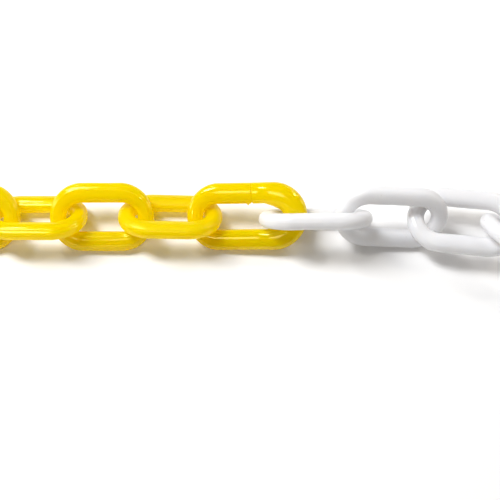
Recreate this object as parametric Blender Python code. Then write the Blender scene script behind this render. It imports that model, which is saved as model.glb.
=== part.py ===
"""A run of plastic barrier chain: yellow links, one split joining link, white links.

Units are metres, +Z is up and the chain runs along X, lying on the floor at Z = 0.
Every link is its own piece. Counted outwards from the joining link, each one swings
square to the plane of the link before it, about the middle of the bar where its own
bow hooks through that link. Its parent empty stands on that axis.
"""

import math

import bmesh
import bpy
from mathutils import Euler, Vector

MM = 0.001

# Yellow chain mould: outer length and width, bar section, bow section at its tip.
YELLOW = dict(length=51.6, width=34.0, bar=(9.8, 7.6), bow=(8.0, 7.4))

# White chain mould, a little longer.
WHITE = dict(length=55.6, width=33.5, bar=(9.2, 8.0), bow=(8.2, 7.6))

# Split joining link. Its outer bow is thicker, behind a small shoulder.
JOINER = dict(length=59.5, width=33.4, bar=(10.3, 7.8), bow=(7.8, 7.2))
COLLAR_START = 8.7
COLLAR_SECTION = (11.0, 9.2)
COLLAR_PROUD = 0.15
SLIT_X = 2.6
SLIT_WIDTH = 0.5
SLIT_DEPTH = 14.0
SLIT_REACH = 20.0

# Segments round each bow (odd, so that one flat facet faces the bow's middle)
# and sides of the bar's section (even, so that flat sides face in and out).
BOW_SEGMENTS = 13
SECTION_SIDES = 14
SECTION_POWER = 2.5

# How the links lie, outwards from the joining link in millimetres and degrees:
# name, mould, roll about X, rise towards +X, turn about Z, centre x, centre y
# and the height of the lowest point above the floor.
LAYOUT = (
    ("joining_link", JOINER, 33.0, 4.0, -1.0, 0.45, 0.0, 0.0),
    ("yellow_link_1", YELLOW, -32.0, -1.0, -1.0, -37.6, 0.4, 0.0),
    ("yellow_link_2", YELLOW, 33.5, 0.0, 0.0, -71.4, 0.0, 0.0),
    ("yellow_link_3", YELLOW, -31.5, 0.0, 0.0, -104.6, 0.0, 0.0),
    ("yellow_link_4", YELLOW, 33.5, 0.0, 0.0, -137.8, 0.0, 0.0),
    ("yellow_link_5", YELLOW, -32.0, 0.0, 0.0, -171.0, 0.0, 0.0),
    ("yellow_link_6", YELLOW, 33.5, 0.0, 0.0, -204.2, 0.0, 0.0),
    ("white_link_1", WHITE, -58.5, 1.5, 0.0, 34.1, -2.9, 0.0),
    ("white_link_2", WHITE, 58.1, -4.3, -0.6, 71.2, -2.3, 0.0),
    ("white_link_3", WHITE, 4.2, 1.4, -6.6, 106.9, -4.3, 9.7),
    ("white_link_4", WHITE, -52.6, -2.8, -38.0, 137.2, -19.4, 0.0),
    ("white_link_5", WHITE, 42.0, 0.0, -6.0, 171.0, -33.0, 0.0),
    ("white_link_6", WHITE, -36.0, 0.0, 6.0, 207.5, -32.0, 0.0),
)


def clear_scene():
    for thing in list(bpy.data.objects):
        bpy.data.objects.remove(thing, do_unlink=True)


def new_collection(name):
    group = bpy.data.collections.new(name)
    bpy.context.scene.collection.children.link(group)
    return group


def plastic(name, colour):
    mat = bpy.data.materials.new(name)
    mat.use_nodes = True
    shader = mat.node_tree.nodes["Principled BSDF"]
    shader.inputs["Base Color"].default_value = (*colour, 1.0)
    shader.inputs["Roughness"].default_value = 0.3
    return mat


def section_points(size):
    """A flat-sided oval, with one flat side facing each way across the bar."""
    points = []
    for i in range(SECTION_SIDES):
        turn = -2.0 * math.pi * (i + 0.5) / SECTION_SIDES
        across = abs(math.cos(turn)) ** (2.0 / SECTION_POWER)
        through = abs(math.sin(turn)) ** (2.0 / SECTION_POWER)
        points.append((
            math.copysign(across, math.cos(turn)) * size[0] / 2.0 * MM,
            math.copysign(through, math.sin(turn)) * size[1] / 2.0 * MM,
        ))
    return points


def bow_points(centre_x, radius, side):
    """Points round one half circle, from the +Y bar to the -Y bar."""
    points = []
    for i in range(BOW_SEGMENTS + 1):
        turn = math.pi * i / BOW_SEGMENTS
        points.append((
            side * (centre_x + radius * math.sin(turn)) * MM,
            radius * math.cos(turn) * MM,
        ))
    return points


def poly_curve(name, points, dimensions, closed):
    data = bpy.data.curves.new(name, "CURVE")
    data.dimensions = dimensions
    spline = data.splines.new("POLY")
    spline.points.add(len(points) - 1)
    for knot, (x, y) in zip(spline.points, points):
        knot.co = (x, y, 0.0, 1.0)
    spline.use_cyclic_u = closed
    return data


def swept(name, path, closed, size, group):
    """A mesh of the oval section carried along a flat path."""
    outline = poly_curve(name + "_section", section_points(size), "2D", True)
    profile = bpy.data.objects.new(name + "_section", outline)
    group.objects.link(profile)
    profile.hide_render = True
    profile.display_type = "WIRE"
    data = poly_curve(name, path, "3D", closed)
    data.twist_mode = "Z_UP"
    data.bevel_mode = "OBJECT"
    data.bevel_object = profile
    data.use_fill_caps = not closed
    thing = bpy.data.objects.new(name, data)
    group.objects.link(thing)
    bpy.context.view_layer.update()
    seen = thing.evaluated_get(bpy.context.evaluated_depsgraph_get())
    mesh = bpy.data.meshes.new_from_object(seen)
    bpy.data.objects.remove(thing, do_unlink=True)
    bpy.data.objects.remove(profile, do_unlink=True)
    return mesh


def sizes(mould):
    """Radius of the bar's centreline round a bow and where that bow's centre is."""
    radius = (mould["width"] - mould["bar"][0]) / 2.0
    centre = (mould["length"] - mould["bow"][0]) / 2.0 - radius
    return radius, centre


def link_mesh(name, mould, group):
    """One link: two straight bars and two bows that thin towards their tips."""
    radius, centre = sizes(mould)
    path = bow_points(centre, radius, 1)
    path += list(reversed([(x, y) for x, y in bow_points(centre, radius, -1)]))
    mesh = swept(name, path, True, mould["bar"], group)
    for vertex in mesh.vertices:
        beyond = abs(vertex.co.x) / MM - centre
        if beyond <= 0.0:
            continue
        flat = Vector((math.copysign(beyond, vertex.co.x), vertex.co.y / MM))
        tip = beyond / flat.length
        across = 1.0 + (mould["bow"][0] / mould["bar"][0] - 1.0) * tip
        through = 1.0 + (mould["bow"][1] / mould["bar"][1] - 1.0) * tip
        reach = radius + (flat.length - radius) * across
        flat = flat.normalized() * reach
        vertex.co.x = (math.copysign(centre, vertex.co.x) + flat.x) * MM
        vertex.co.y = flat.y * MM
        vertex.co.z *= through
    return mesh


def solid_from(name, mesh, group):
    thing = bpy.data.objects.new(name, mesh)
    group.objects.link(thing)
    return thing


def combined(base, tool, operation, group):
    """The base with the tool added or cut away, as a plain mesh."""
    step = base.modifiers.new(operation.lower(), "BOOLEAN")
    step.operation = operation
    step.solver = "EXACT"
    step.object = tool
    bpy.context.view_layer.update()
    seen = base.evaluated_get(bpy.context.evaluated_depsgraph_get())
    mesh = bpy.data.meshes.new_from_object(seen)
    bpy.data.objects.remove(base, do_unlink=True)
    bpy.data.objects.remove(tool, do_unlink=True)
    return solid_from("worked_joiner", mesh, group)


def box_mesh(name, size):
    work = bmesh.new()
    bmesh.ops.create_cube(work, size=1.0)
    bmesh.ops.scale(work, vec=Vector(size) * MM, verts=work.verts)
    mesh = bpy.data.meshes.new(name)
    work.to_mesh(mesh)
    work.free()
    return mesh


def joiner_mesh(group):
    """The joining link: a link with a thick collar on one bow and a slit bar."""
    base = solid_from("joiner_base", link_mesh("joiner_base", JOINER, group), group)
    outer = JOINER["width"] / 2.0 + COLLAR_PROUD
    radius = outer - COLLAR_SECTION[0] / 2.0
    centre = JOINER["length"] / 2.0 + COLLAR_PROUD - outer
    path = [(COLLAR_START * MM, radius * MM)]
    path += bow_points(centre, radius, 1)
    path += [(COLLAR_START * MM, -radius * MM)]
    band = swept("joiner_collar", path, False, COLLAR_SECTION, group)
    collar = solid_from("joiner_collar", band, group)
    whole = combined(base, collar, "UNION", group)
    block = box_mesh("slit_cutter", (SLIT_WIDTH, SLIT_DEPTH, SLIT_REACH))
    cutter = solid_from("slit_cutter", block, group)
    cutter.location = (SLIT_X * MM, JOINER["width"] / 2.0 * MM, 0.0)
    cutter.hide_render = True
    cutter.display_type = "WIRE"
    whole = combined(whole, cutter, "DIFFERENCE", group)
    mesh = whole.data
    bpy.data.objects.remove(whole, do_unlink=True)
    return mesh


def attitude(roll, rise, turn):
    return Euler((math.radians(roll), -math.radians(rise), math.radians(turn)), "XYZ").to_matrix()


def lowest(mesh, matrix):
    return min((matrix @ vertex.co).z for vertex in mesh.vertices)


def bow_tip(mould, side):
    """Centre of the bar at the middle of a bow, in the link's own frame."""
    return Vector((side * (mould["length"] - mould["bow"][0]) / 2.0 * MM, 0.0, 0.0))


def centre_row(group):
    """Slide the whole row so that it stands on, and is centred over, the origin."""
    bpy.context.view_layer.update()
    corners = []
    for thing in group.objects:
        if thing.type == "MESH":
            corners += [thing.matrix_world @ vertex.co for vertex in thing.data.vertices]
    low = Vector([min(corner[i] for corner in corners) for i in range(3)])
    high = Vector([max(corner[i] for corner in corners) for i in range(3)])
    shift = Vector(((low.x + high.x) / 2.0, (low.y + high.y) / 2.0, low.z))
    for thing in group.objects:
        if thing.parent is None:
            thing.location -= shift


def build():
    clear_scene()
    chain = new_collection("plastic_barrier_chain")
    tools = new_collection("tools")
    meshes = {
        "yellow": link_mesh("yellow_link", YELLOW, tools),
        "white": link_mesh("white_link", WHITE, tools),
        "joining": joiner_mesh(tools),
    }
    paints = {
        "yellow": plastic("yellow_plastic", (0.95, 0.62, 0.0)),
        "white": plastic("white_plastic", (0.86, 0.87, 0.88)),
        "joining": plastic("amber_yellow_plastic", (0.93, 0.58, 0.0)),
    }
    placed = {}
    for name, mould, roll, rise, turn, x, y, lift in LAYOUT:
        kind = name.split("_")[0]
        mesh = meshes[kind].copy()
        mesh.materials.clear()
        mesh.materials.append(paints[kind])
        for face in mesh.polygons:
            face.use_smooth = True
        matrix = attitude(roll, rise, turn)
        height = lift * MM - lowest(mesh, matrix)
        centre = Vector((x * MM, y * MM, height))
        placed[name] = matrix
        link = bpy.data.objects.new(name, mesh)
        chain.objects.link(link)
        side = -1 if kind == "yellow" else 1
        order = int(name[-1]) if name[-1].isdigit() else 0
        if order == 0:
            link.location = centre
            link.rotation_euler = matrix.to_euler()
            continue
        parent_name = "joining_link" if order == 1 else f"{kind}_link_{order - 1}"
        parent_matrix = placed[parent_name]
        pivot = bpy.data.objects.new(name + "_pivot", None)
        chain.objects.link(pivot)
        pivot.location = centre + matrix @ bow_tip(mould, -side)
        pivot.rotation_euler = parent_matrix.to_euler()
        link.parent = pivot
        link.location = parent_matrix.transposed() @ (centre - pivot.location)
        link.rotation_euler = (parent_matrix.transposed() @ matrix).to_euler()
    centre_row(chain)


build()
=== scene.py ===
import math

import bmesh
import bpy
import numpy as np
from mathutils import Euler, Matrix, Vector, noise


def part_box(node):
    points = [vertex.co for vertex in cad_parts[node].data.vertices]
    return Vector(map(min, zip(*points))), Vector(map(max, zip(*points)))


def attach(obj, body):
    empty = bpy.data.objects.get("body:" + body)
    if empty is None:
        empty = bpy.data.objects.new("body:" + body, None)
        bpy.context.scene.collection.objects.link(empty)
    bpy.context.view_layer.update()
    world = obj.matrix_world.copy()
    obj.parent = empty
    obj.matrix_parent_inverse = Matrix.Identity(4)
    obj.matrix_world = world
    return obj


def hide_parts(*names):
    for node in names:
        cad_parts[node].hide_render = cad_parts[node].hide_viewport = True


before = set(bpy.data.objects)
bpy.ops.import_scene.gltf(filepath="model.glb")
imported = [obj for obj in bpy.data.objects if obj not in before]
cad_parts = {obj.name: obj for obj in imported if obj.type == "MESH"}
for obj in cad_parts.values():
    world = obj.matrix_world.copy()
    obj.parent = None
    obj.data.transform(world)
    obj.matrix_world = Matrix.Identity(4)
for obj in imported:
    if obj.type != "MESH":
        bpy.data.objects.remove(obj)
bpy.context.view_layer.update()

MM = 0.001

# ---------------------------------------------------------------- moulds, in millimetres
# Outer length and width, bar section and bow section (in the link's plane, across it).
YELLOW = dict(length=51.6, width=34.0, bar=(9.8, 7.6), bow=(8.0, 7.4), power=2.35)
WHITE = dict(length=55.6, width=33.5, bar=(9.2, 8.0), bow=(8.2, 7.6), power=2.3)
JOINER = dict(length=59.5, width=33.4, bar=(10.3, 7.8), bow=(7.8, 7.2), power=2.35)

# The joining link: a slit bar, a corner where the collar starts and a thicker far side.
COLLAR_START = 8.7
COLLAR_FULL = 14.5
COLLAR_HEIGHT = 9.2
COLLAR_FAR = 12.4
COLLAR_NEAR = 11.0
COLLAR_PROUD = 0.15
SLIT_X = 2.6
SLIT_WIDTH = 0.44
SLIT_WEDGE = 0.30
SLIT_FILLET = 0.14
SLIT_CORE = 0.90
SLIT_INSET = 0.4

# The collar also grows in height and stands proud over a stretch of the bar.
COLLAR_RISE_START = 5.0
COLLAR_RISE_LENGTH = 7.0
COLLAR_END = 4.0

# Mesh density: steps along the bar and the slit bar, points round the section, and the
# finer step beside a small mark. Each bow takes more stations than its length asks for.
STATION_STEP = 0.9
SLIT_BAR_STEP = 0.35
NEAR_BAR_STEP = 0.4
BOW_DENSITY = 1.25
RING_POINTS = 72
RING_SAMPLES = 4001
LINE_POINTS = (-0.9, -0.6, -0.3, 0.0, 0.3, 0.6, 0.9)
CLOSEST_POINTS = 0.03
FEATURE_STEP = 0.14
MARK_MARGIN = 1.6

# The section changes from bar to bow with this power of the way round.
BOW_BLEND = 1.4

# Slight unevenness of the moulded surface: size of each swell and how closely they follow
# one another along the link and across it.
SLOW_SWELL = (0.07, (0.10, 0.16, 0.16))
QUICK_SWELL = (0.03, (0.28, 0.50, 0.50))

# How fast a line's profile falls away, how long its ends take to fade, and how pointed a
# small mark is.
LINE_FALL = 2.2
LINE_FADE = 2.0
MARK_POINT = 1.4
SLIT_LEAN_REACH = 3.0

# ---------------------------------------------------------------- how each link lies
# name, mould, roll about X, rise towards +X, turn about Z, as the CAD links lie.
JOINER_CENTRE = Vector((-2.239, 16.103, 11.809)) * MM
LAYOUT = (
    ("joining_link", JOINER, 33.0, 4.0, -1.0),
    ("yellow_link_1", YELLOW, -32.0, -1.0, -1.0),
    ("yellow_link_2", YELLOW, 33.5, 0.0, 0.0),
    ("yellow_link_3", YELLOW, -31.5, 0.0, 0.0),
    ("yellow_link_4", YELLOW, 33.5, 0.0, 0.0),
    ("yellow_link_5", YELLOW, -32.0, 0.0, 0.0),
    ("yellow_link_6", YELLOW, 33.5, 0.0, 0.0),
    ("white_link_1", WHITE, -58.5, 1.5, 0.0),
    ("white_link_2", WHITE, 58.1, -4.3, -0.6),
    ("white_link_3", WHITE, 4.2, 1.4, -6.6),
    ("white_link_4", WHITE, -52.6, -2.8, -38.0),
    ("white_link_5", WHITE, 42.0, 0.0, -6.0),
    ("white_link_6", WHITE, -36.0, 0.0, 6.0),
)

# Lines along the bar: angle round the section from straight outward towards the upper
# face, height (below zero is a groove), half width and the stretch along X they cover.
ALL = (-40.0, 40.0)
LINES = {
    "joining_link": ((118.0, 0.10, 0.6, (-40.0, 6.0)), (40.0, 0.10, 0.45, (14.0, 40.0))),
    "yellow_link_1": ((84.0, 0.03, 0.6, ALL),),
    "yellow_link_2": ((77.0, 0.20, 0.7, ALL), (122.0, -0.14, 0.5, ALL),
                      (146.0, -0.12, 0.5, ALL)),
    "yellow_link_3": ((46.0, -0.26, 0.9, ALL), (16.0, 0.14, 0.6, ALL),
                      (134.0, -0.12, 0.7, ALL), (172.0, -0.12, 0.6, ALL)),
    "yellow_link_4": ((77.0, 0.12, 0.6, ALL), (122.0, -0.08, 0.5, ALL)),
    "yellow_link_5": ((46.0, -0.12, 0.8, ALL), (134.0, -0.08, 0.7, ALL)),
    "yellow_link_6": ((77.0, 0.10, 0.6, ALL),),
    "white_link_3": ((28.0, 0.07, 0.4, ALL), (150.0, 0.06, 0.5, ALL)),
}
PLAIN_LINES = ((0.0, 0.05, 0.35, ALL), (180.0, 0.05, 0.35, ALL))

# Small marks: distance along X from the link's middle, bar (1 far, -1 near), angle round
# the section, height and radius.
MARKS = {
    "white_link_2": ((-6.0, -1, 60.0, 0.35, 0.9),),
    "white_link_5": ((5.0, -1, 60.0, 0.30, 0.9),),
    "yellow_link_1": ((2.0, 1, 175.0, 0.25, 0.9),),
    "yellow_link_2": ((-7.5, -1, 165.0, 0.40, 1.0), (-2.5, 1, 20.0, 0.25, 1.4)),
    "yellow_link_3": ((5.0, 1, 185.0, 0.30, 0.8),),
    "yellow_link_5": ((-4.0, 1, 180.0, 0.30, 0.8),),
    "joining_link": ((0.8, 1, 182.0, 1.0, 1.1),),
}

# How glossy each link is: roughness from and to. Links not named take their mould's.
GLOSS = {
    "yellow_link_1": (0.26, 0.36),
    "yellow_link_2": (0.09, 0.17),
    "yellow_link_3": (0.06, 0.12),
    "white_link_3": (0.10, 0.20),
}


# ---------------------------------------------------------------- link shapes
def smooth(t):
    """Eases from 0 to 1."""
    t = np.clip(t, 0.0, 1.0)
    return t * t * (3.0 - 2.0 * t)


def unit_ring(power, lines, size):
    """Section parameters: evenly spaced, with more of them beside each line."""
    dense = np.linspace(0.0, 2.0 * math.pi, RING_SAMPLES)
    across, through = oval(dense, power)
    step = np.hypot(np.diff(across) * size[0] / 2, np.diff(through) * size[1] / 2)
    arc = np.concatenate([[0.0], np.cumsum(step)])
    wanted = list(np.linspace(0.0, arc[-1], RING_POINTS, endpoint=False))
    tilt = normal_angle(dense, power, size)
    centres = []
    for angle, _, half, _ in lines:
        middle = float(np.interp(angle % 360.0, tilt, arc))
        centres.append(middle)
        wanted += [middle + half * k for k in LINE_POINTS]
    wanted = np.sort(np.mod(np.array(wanted), arc[-1]))
    keep = np.concatenate([[True], np.diff(wanted) > CLOSEST_POINTS])
    wanted = wanted[keep]
    return np.interp(wanted, arc, dense), wanted, centres, arc[-1]


def oval(turn, power):
    """A rounded section of unit half widths: outward and upward shares."""
    across = np.sign(np.cos(turn)) * np.abs(np.cos(turn)) ** (2.0 / power)
    through = np.sign(np.sin(turn)) * np.abs(np.sin(turn)) ** (2.0 / power)
    return across, through


def normal_angle(turn, power, size):
    """Direction the section's surface faces, in degrees, rising from 0 to 360."""
    across, through = oval(turn, power)
    out = np.sign(across) * np.abs(across) ** (power - 1.0) / size[0]
    up = np.sign(through) * np.abs(through) ** (power - 1.0) / size[1]
    return np.degrees(np.unwrap(np.arctan2(up, out)))


def plain_path(mould):
    """Stations of a closed link: place, outward direction, section size."""
    radius = (mould["width"] - mould["bar"][0]) / 2.0
    centre = (mould["length"] - mould["bow"][0]) / 2.0 - radius
    rows = []
    rows += bar_rows(-centre, centre, radius, 1, mould["bar"])
    rows += bow_rows(centre, radius, 1, mould["bar"], mould["bow"])
    rows += bar_rows(centre, -centre, radius, -1, mould["bar"])
    rows += bow_rows(-centre, radius, -1, mould["bar"], mould["bow"])
    return rows


def bar_rows(start, end, radius, side, size):
    """A straight bar on one side of the link."""
    count = max(2, int(abs(end - start) / STATION_STEP))
    rows = []
    for i in range(count):
        x = start + (end - start) * i / count
        rows.append((x, side * radius, 0.0, float(side), *size))
    return rows


def bow_rows(centre, radius, side, bar, bow):
    """Half a turn from the bar on one side to the bar on the other."""
    count = int(math.pi * radius / STATION_STEP * BOW_DENSITY)
    rows = []
    for i in range(count):
        turn = math.pi * i / count
        ex, ey = side * math.sin(turn), side * math.cos(turn)
        tip = math.sin(turn) ** BOW_BLEND
        size = [a + (b - a) * tip for a, b in zip(bar, bow)]
        rows.append((centre + ex * radius, ey * radius, ex, ey, *size))
    return rows


def joiner_path():
    """Stations of the joining link, from one face of the slit round to the other."""
    bar, bow = JOINER["bar"], JOINER["bow"]
    radius = (JOINER["width"] - bar[0]) / 2.0
    centre = (JOINER["length"] - bow[0]) / 2.0 - radius
    outer = JOINER["width"] / 2.0 + COLLAR_PROUD
    collar_centre = JOINER["length"] / 2.0 + COLLAR_PROUD - outer
    start, end = SLIT_X + SLIT_WIDTH / 2.0, SLIT_X - SLIT_WIDTH / 2.0
    lip = [(SLIT_FILLET * (1.0 - math.cos(t)), SLIT_FILLET * (1.0 - math.sin(t)))
           for t in np.linspace(0.3, 1.5, 5)]

    def slit_row(x, inset, share=1.0):
        size = [side * share - 2.0 * inset for side in bar]
        return (x, radius, 0.0, 1.0, *size)

    def straight_row(x, side, collar):
        risen = float(smooth((x - COLLAR_RISE_START) / COLLAR_RISE_LENGTH))
        height = bar[1] + (COLLAR_HEIGHT - bar[1]) * risen
        reach = JOINER["width"] / 2.0 + COLLAR_PROUD * risen
        grown = (x - COLLAR_START) / (COLLAR_FULL - COLLAR_START)
        if side < 0:
            grown = float(smooth(grown))
        wide = bar[0] + (collar - bar[0]) * min(1.0, max(0.0, grown))
        return (x, side * (reach - wide / 2.0), 0.0, float(side), wide, height)

    rows = [slit_row(start, 0.0, SLIT_CORE)]
    rows += [slit_row(start + step, inset) for step, inset in lip]
    rows += [straight_row(x, 1, COLLAR_FAR)
             for x in np.arange(start + SLIT_INSET, collar_centre, SLIT_BAR_STEP)]
    count = int(math.pi * outer / STATION_STEP)
    for i in range(count + 1):
        turn = math.pi * i / count
        full = bar[0] + (COLLAR_FAR - bar[0]) * min(
            1.0, (collar_centre - COLLAR_START) / (COLLAR_FULL - COLLAR_START) + turn)
        wide = full + (COLLAR_NEAR - full) * float(smooth(turn / math.pi))
        ex, ey = math.sin(turn), math.cos(turn)
        reach = outer - wide / 2.0
        rows.append((collar_centre + ex * reach, ey * reach, ex, ey, wide, COLLAR_HEIGHT))
    rows += [straight_row(x, -1, COLLAR_NEAR)
             for x in np.arange(collar_centre - NEAR_BAR_STEP, COLLAR_END, -NEAR_BAR_STEP)]
    rows += bar_rows(COLLAR_END, -centre, radius, -1, bar)
    rows += bow_rows(-centre, radius, -1, bar, bow)
    rows += bar_rows(-centre, end - SLIT_INSET, radius, 1, bar)
    rows += [slit_row(end - step, inset) for step, inset in reversed(lip)]
    rows.append(slit_row(end, 0.0, SLIT_CORE))
    return rows


def refined(rows, marks):
    """More stations where a small mark stands on a straight bar."""
    if not marks:
        return rows
    made = []
    count = len(rows)
    for i, row in enumerate(rows):
        made.append(row)
        after = rows[(i + 1) % count]
        straight = abs(row[2]) < 1e-6 and abs(after[2]) < 1e-6
        if not straight:
            continue
        for x, side, _, _, reach in marks:
            middle = (row[0] + after[0]) / 2.0
            if row[3] * side > 0 and abs(middle - x) < reach * MARK_MARGIN:
                parts = max(1, int(abs(after[0] - row[0]) / FEATURE_STEP))
                for k in range(1, parts):
                    t = k / parts
                    made.append(tuple(a + (b - a) * t for a, b in zip(row, after)))
                break
    return made


def surface(rows, across, through, power):
    """Points of the plain surface and the way each one faces."""
    x, y, ex, ey, wide, tall = np.array(rows, float).T
    a = wide[:, None] / 2.0 * across[None, :]
    b = tall[:, None] / 2.0 * through[None, :]
    points = np.stack([x[:, None] + ex[:, None] * a, y[:, None] + ey[:, None] * a, b], -1)
    out = np.sign(across) * np.abs(across) ** (power - 1.0)
    up = np.sign(through) * np.abs(through) ** (power - 1.0)
    na = out[None, :] / wide[:, None]
    nb = up[None, :] / tall[:, None]
    size = np.hypot(na, nb)
    na, nb = na / size, nb / size
    normals = np.stack([ex[:, None] * na, ey[:, None] * na, nb], -1)
    return points, normals


def line_lift(x, arc, centres, around, lines):
    """Height of the ridges and grooves that run along the bar."""
    lift = np.zeros((len(x), len(arc)))
    for (_, height, half, (first, last)), middle in zip(lines, centres):
        away = np.abs(arc - middle)
        away = np.minimum(away, around - away)
        along = smooth((x - first) / LINE_FADE) * smooth((last - x) / LINE_FADE)
        profile = np.exp(-((away / half) ** 2) * LINE_FALL)
        lift += height * along[:, None] * profile[None, :]
    return lift


def swell(place, kind, seed):
    """Height of one kind of swell at a place."""
    size, step = kind
    return size * noise.noise(Vector([p * s for p, s in zip(place, step)]) + seed)


def swell_lift(points, seed):
    """Height of the moulded surface's slight unevenness."""
    lift = np.zeros(points.shape[:2])
    for i in range(points.shape[0]):
        for j in range(points.shape[1]):
            place = Vector(points[i, j])
            lift[i, j] = swell(place, SLOW_SWELL, seed)
            lift[i, j] += swell(place, QUICK_SWELL, seed * 2)
    return lift


def mark_lift(points, mould, marks):
    """Height of the small marks."""
    lift = np.zeros(points.shape[:2])
    bar, power = mould["bar"], mould["power"]
    radius = (mould["width"] - bar[0]) / 2.0
    phases = np.linspace(0.0, 2.0 * math.pi, RING_SAMPLES)
    tilt = normal_angle(phases, power, bar)
    for mark_x, side, angle, height, reach in marks:
        phase = float(np.interp(angle % 360.0, tilt, phases))
        across, through = oval(np.array([phase]), power)
        spot = np.array([
            mark_x,
            side * (radius + bar[0] / 2.0 * float(across[0])),
            bar[1] / 2.0 * float(through[0]),
        ])
        away = np.linalg.norm(points - spot, axis=2)
        lift += height * np.clip(1.0 - away / reach, 0.0, 1.0) ** MARK_POINT
    return lift


def slit_lean(x, ey, across):
    """The slit's right-hand face leans, so that the gap opens towards the window."""
    far_bar = ey > 0.9
    near = (np.abs(x - SLIT_X) < SLIT_LEAN_REACH) & (x > SLIT_X) & far_bar
    lean = SLIT_WEDGE * -across[None, :] * near[:, None]
    fade = np.clip(1.0 - (x - SLIT_X) / SLIT_LEAN_REACH, 0.0, 1.0)[:, None]
    return lean * fade


def tube_mesh(name, points):
    """A closed tube through rings of points."""
    count, ring = points.shape[:2]
    corners = [tuple(p) for p in (points.reshape(-1, 3) * MM)]
    faces = []
    for i in range(count):
        k = (i + 1) % count
        for j in range(ring):
            m = (j + 1) % ring
            faces.append((i * ring + j, i * ring + m, k * ring + m, k * ring + j))
    mesh = bpy.data.meshes.new(name)
    mesh.from_pydata(corners, [], faces)
    mesh.update()
    work = bmesh.new()
    work.from_mesh(mesh)
    bmesh.ops.recalc_face_normals(work, faces=work.faces)
    work.to_mesh(mesh)
    work.free()
    for face in mesh.polygons:
        face.use_smooth = True
    return mesh


def link_mesh(name, mould, seed):
    """One moulded link with its lines, marks and slight unevenness."""
    joining = mould is JOINER
    lines = LINES.get(name, ()) + PLAIN_LINES
    marks = MARKS.get(name, ())
    rows = refined(joiner_path() if joining else plain_path(mould), marks)
    power = mould["power"]
    turn, arc, centres, around = unit_ring(power, lines, mould["bar"])
    across, through = oval(turn, power)
    points, normals = surface(rows, across, through, power)
    x = np.array([row[0] for row in rows], float)
    lift = line_lift(x, arc, centres, around, lines)
    lift += swell_lift(points, seed)
    lift += mark_lift(points, mould, marks)
    points = points + normals * lift[:, :, None]
    if joining:
        ey = np.array([row[3] for row in rows], float)
        points[:, :, 0] += slit_lean(x, ey, across)
    return tube_mesh(name, points)


# ---------------------------------------------------------------- materials
# Noise patterns: scale, detail, roughness and stretch along the link.
COLOUR_DRIFT = (70.0, 3.0, 0.55, None)
DARK_SPECKS = (900.0, 1.0, 0.5, None)
GLOSS_PATCHES = (160.0, 4.0, 0.6, (0.35, 1.0, 1.0))
ORANGE_PEEL = (320.0, 3.0, 0.5, (0.3, 1.0, 1.0))
FINE_SCUFFS = (1500.0, 2.0, 0.6, (0.08, 1.0, 1.0))

# Bumps: strength and depth in metres.
PEEL_BUMP = (0.2, 0.00012)
SCUFF_BUMP = (0.12, 0.00005)

# Where in each pattern the colours, the specks and the gloss change.
DRIFT_STOPS = (0.34, 0.52, 0.70)
SPECK_STOPS = (0.795, 0.83)
GLOSS_STOPS = (0.35, 0.68)


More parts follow.
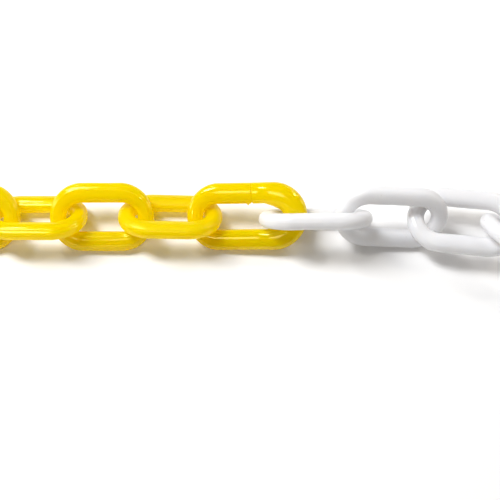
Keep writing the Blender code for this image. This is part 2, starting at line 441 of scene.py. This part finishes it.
def plastic(name, palette, roughness, seed):
    """Glossy moulded plastic: slow colour drift, orange peel, scuffs and a few specks."""
    mat = bpy.data.materials.new(name)
    mat.use_nodes = True
    tree = mat.node_tree
    nodes, links = tree.nodes, tree.links
    shader = nodes["Principled BSDF"]
    shader.inputs["IOR"].default_value = palette["ior"]
    shader.inputs["Subsurface Weight"].default_value = palette["glow"]
    shader.inputs["Subsurface Radius"].default_value = palette["glow_colour"]
    shader.inputs["Subsurface Scale"].default_value = palette["glow_depth"]
    shader.inputs["Specular IOR Level"].default_value = palette["shine"]
    shader.inputs["Specular Tint"].default_value = (*palette["shine_colour"], 1.0)
    shader.inputs["Coat Weight"].default_value = palette["coat"]
    shader.inputs["Coat Roughness"].default_value = palette["coat_roughness"]

    place = nodes.new("ShaderNodeTexCoord")
    shift = nodes.new("ShaderNodeMapping")
    shift.inputs["Location"].default_value = (seed * 0.31, seed * 0.17, seed * 0.23)
    links.new(place.outputs["Object"], shift.inputs["Vector"])

    def pattern(kind):
        scale, detail, rough, stretch = kind
        vector = shift.outputs["Vector"]
        if stretch:
            drawn = nodes.new("ShaderNodeMapping")
            drawn.inputs["Scale"].default_value = stretch
            links.new(vector, drawn.inputs["Vector"])
            vector = drawn.outputs["Vector"]
        tex = nodes.new("ShaderNodeTexNoise")
        tex.inputs["Scale"].default_value = scale
        tex.inputs["Detail"].default_value = detail
        tex.inputs["Roughness"].default_value = rough
        links.new(vector, tex.inputs["Vector"])
        return tex.outputs["Fac"]

    def ramp(value, stops, colours):
        node = nodes.new("ShaderNodeValToRGB")
        while len(node.color_ramp.elements) < len(stops):
            node.color_ramp.elements.new(0.5)
        for element, where, colour in zip(node.color_ramp.elements, stops, colours):
            element.position = where
            element.color = (*colour, 1.0)
        links.new(value, node.inputs["Fac"])
        return node.outputs["Color"]

    def bump(kind, height):
        node = nodes.new("ShaderNodeBump")
        node.inputs["Strength"].default_value, node.inputs["Distance"].default_value = kind
        links.new(height, node.inputs["Height"])
        return node

    colour = ramp(pattern(COLOUR_DRIFT), DRIFT_STOPS, palette["colours"])
    speck = ramp(pattern(DARK_SPECKS), SPECK_STOPS, ((0.0,) * 3, (1.0,) * 3))
    mix = nodes.new("ShaderNodeMix")
    mix.data_type = "RGBA"
    links.new(speck, mix.inputs["Factor"])
    links.new(colour, mix.inputs["A"])
    mix.inputs["B"].default_value = (*palette["speck"], 1.0)
    links.new(mix.outputs["Result"], shader.inputs["Base Color"])

    gloss = ramp(pattern(GLOSS_PATCHES), GLOSS_STOPS, [(value,) * 3 for value in roughness])
    links.new(gloss, shader.inputs["Roughness"])

    peel = bump(PEEL_BUMP, pattern(ORANGE_PEEL))
    scuff = bump(SCUFF_BUMP, pattern(FINE_SCUFFS))
    links.new(peel.outputs["Normal"], scuff.inputs["Normal"])
    links.new(scuff.outputs["Normal"], shader.inputs["Normal"])

    through = nodes.new("ShaderNodeBsdfTranslucent")
    through.inputs["Color"].default_value = (*palette["through_colour"], 1.0)
    share = nodes.new("ShaderNodeMixShader")
    share.inputs["Fac"].default_value = palette["through"]
    links.new(shader.outputs["BSDF"], share.inputs[1])
    links.new(through.outputs["BSDF"], share.inputs[2])
    links.new(share.outputs["Shader"], nodes["Material Output"].inputs["Surface"])
    return mat


PALETTES = {
    "yellow_plastic": dict(
        colours=((0.98, 0.82, 0.0), (0.99, 0.86, 0.0), (1.0, 0.89, 0.0)),
        speck=(0.55, 0.30, 0.01), roughness=(0.14, 0.24), glow=0.5,
        glow_colour=(1.0, 0.60, 0.02), glow_depth=0.004, shine=1.0,
        shine_colour=(1.0, 0.90, 0.18), through=0.58, through_colour=(1.0, 0.84, 0.0),
        coat=0.25, coat_roughness=0.05, ior=1.6,
    ),
    "joining_yellow_plastic": dict(
        colours=((0.98, 0.79, 0.0), (0.99, 0.82, 0.0), (1.0, 0.85, 0.0)),
        speck=(0.50, 0.26, 0.01), roughness=(0.07, 0.14), glow=0.5,
        glow_colour=(1.0, 0.60, 0.02), glow_depth=0.004, shine=1.0,
        shine_colour=(1.0, 0.90, 0.18), through=0.52, through_colour=(1.0, 0.83, 0.0),
        coat=0.5, coat_roughness=0.03, ior=1.6,
    ),
    "white_plastic": dict(
        colours=((0.88, 0.885, 0.915), (0.90, 0.905, 0.935), (0.91, 0.915, 0.945)),
        speck=(0.22, 0.20, 0.18), roughness=(0.30, 0.40), glow=0.6,
        glow_colour=(1.0, 0.95, 0.9), glow_depth=0.004, shine=0.45,
        shine_colour=(1.0, 1.0, 1.0), through=0.20, through_colour=(0.97, 0.94, 0.90),
        coat=0.2, coat_roughness=0.15, ior=1.5,
    ),
}


def build_chain():
    """Every link, placed where its CAD solid lies."""
    for order, (name, mould, roll, rise, turn) in enumerate(LAYOUT):
        if mould is YELLOW:
            finish = "yellow_plastic"
        elif mould is WHITE:
            finish = "white_plastic"
        else:
            finish = "joining_yellow_plastic"
        seed = Vector((order * 7.3, order * 3.1, order * 5.7))
        piece = bpy.data.objects.new(name + "_moulding", link_mesh(name, mould, seed))
        bpy.context.scene.collection.objects.link(piece)
        low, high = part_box(name)
        centre = JOINER_CENTRE if mould is JOINER else (low + high) / 2.0
        angles = Euler((math.radians(roll), -math.radians(rise), math.radians(turn)), "XYZ")
        piece.matrix_world = Matrix.Translation(centre) @ angles.to_matrix().to_4x4()
        palette = PALETTES[finish]
        roughness = GLOSS.get(name, palette["roughness"])
        piece.data.materials.append(plastic(f"{finish}_{order}", palette, roughness, order))
        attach(piece, name)
        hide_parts(name)


# ---------------------------------------------------------------- floor, light, camera
FLOOR_HALF = 3.0
WORLD_STRENGTH = 0.05
CAMERA_ELEVATION = 67.0
CAMERA_DISTANCE = 0.400
CAMERA_TARGET = Vector((-0.0007, -0.0012, 0.0100))
CAMERA_LENS = 58.9

# name, direction, distance in metres, size in metres, watts and colour
COOL, WARM, NEUTRAL = (0.97, 0.98, 1.0), (1.0, 0.94, 0.85), (1.0, 1.0, 1.0)
LAMPS = (
    ("key_softbox", (-0.48, 0.27, 0.83), 1.3, (0.30, 0.70), 17.0, COOL),
    ("left_softbox", (-0.95, 0.12, 0.30), 1.3, (0.35, 0.35), 2.6, WARM),
    ("right_softbox", (0.90, 0.18, 0.40), 1.3, (0.35, 0.35), 2.6, WARM),
    ("right_lamp", (0.62, 0.28, 0.73), 1.3, (0.20, 0.20), 1.9, WARM),
    ("front_softbox", (-0.12, -0.44, 0.89), 1.3, (0.30, 0.30), 1.7, WARM),
    ("back_left_lamp", (-0.37, 0.70, 0.61), 1.2, (0.08, 0.08), 1.5, NEUTRAL),
    ("back_right_lamp", (0.44, 0.69, 0.57), 1.2, (0.09, 0.09), 0.8, NEUTRAL),
    ("front_left_lamp", (-0.58, -0.49, 0.66), 1.2, (0.07, 0.07), 0.9, NEUTRAL),
)


def floor():
    """A plain pale surface."""
    mesh = bpy.data.meshes.new("floor")
    half = FLOOR_HALF
    mesh.from_pydata([(-half, -half, 0), (half, -half, 0), (half, half, 0), (-half, half, 0)],
                     [], [(0, 1, 2, 3)])
    thing = bpy.data.objects.new("floor", mesh)
    bpy.context.scene.collection.objects.link(thing)
    mat = bpy.data.materials.new("floor_paper")
    mat.use_nodes = True
    shader = mat.node_tree.nodes["Principled BSDF"]
    shader.inputs["Base Color"].default_value = (0.93, 0.925, 0.92, 1.0)
    shader.inputs["Roughness"].default_value = 0.7
    shader.inputs["Specular IOR Level"].default_value = 0.2
    thing.data.materials.append(mat)


def lamp(name, direction, distance, size, power, colour):
    """A rectangular lamp that shines on the middle of the chain."""
    data = bpy.data.lights.new(name, "AREA")
    data.shape = "RECTANGLE"
    data.size, data.size_y = size
    data.energy = power
    data.color = colour
    thing = bpy.data.objects.new(name, data)
    bpy.context.scene.collection.objects.link(thing)
    way = Vector(direction).normalized()
    thing.location = way * distance
    thing.rotation_mode = "QUATERNION"
    thing.rotation_quaternion = way.to_track_quat("Z", "Y")


def studio():
    """Soft boxes and small lamps round the chain, and a faint even light."""
    for name, *setting in LAMPS:
        lamp(name, *setting)
    world = bpy.data.worlds.new("studio")
    bpy.context.scene.world = world
    world.use_nodes = True
    back = world.node_tree.nodes["Background"]
    back.inputs["Color"].default_value = (1.0, 1.0, 1.0, 1.0)
    back.inputs["Strength"].default_value = WORLD_STRENGTH


def camera():
    """Looks down on the joining link from the front."""
    elevation = math.radians(CAMERA_ELEVATION)
    distance = CAMERA_DISTANCE
    target = CAMERA_TARGET
    back = Vector((0.0, -math.cos(elevation), math.sin(elevation)))
    data = bpy.data.cameras.new("camera")
    data.sensor_width = 36.0
    data.lens = CAMERA_LENS
    data.clip_start = 0.01
    thing = bpy.data.objects.new("camera", data)
    bpy.context.scene.collection.objects.link(thing)
    thing.location = target + back * distance
    thing.rotation_mode = "QUATERNION"
    thing.rotation_quaternion = (-back).to_track_quat("-Z", "Y")
    bpy.context.scene.camera = thing


build_chain()
floor()
studio()
camera()
view = bpy.context.scene.view_settings
view.view_transform = "Standard"
view.look = "None"
view.exposure = 0.0
view.gamma = 1.0
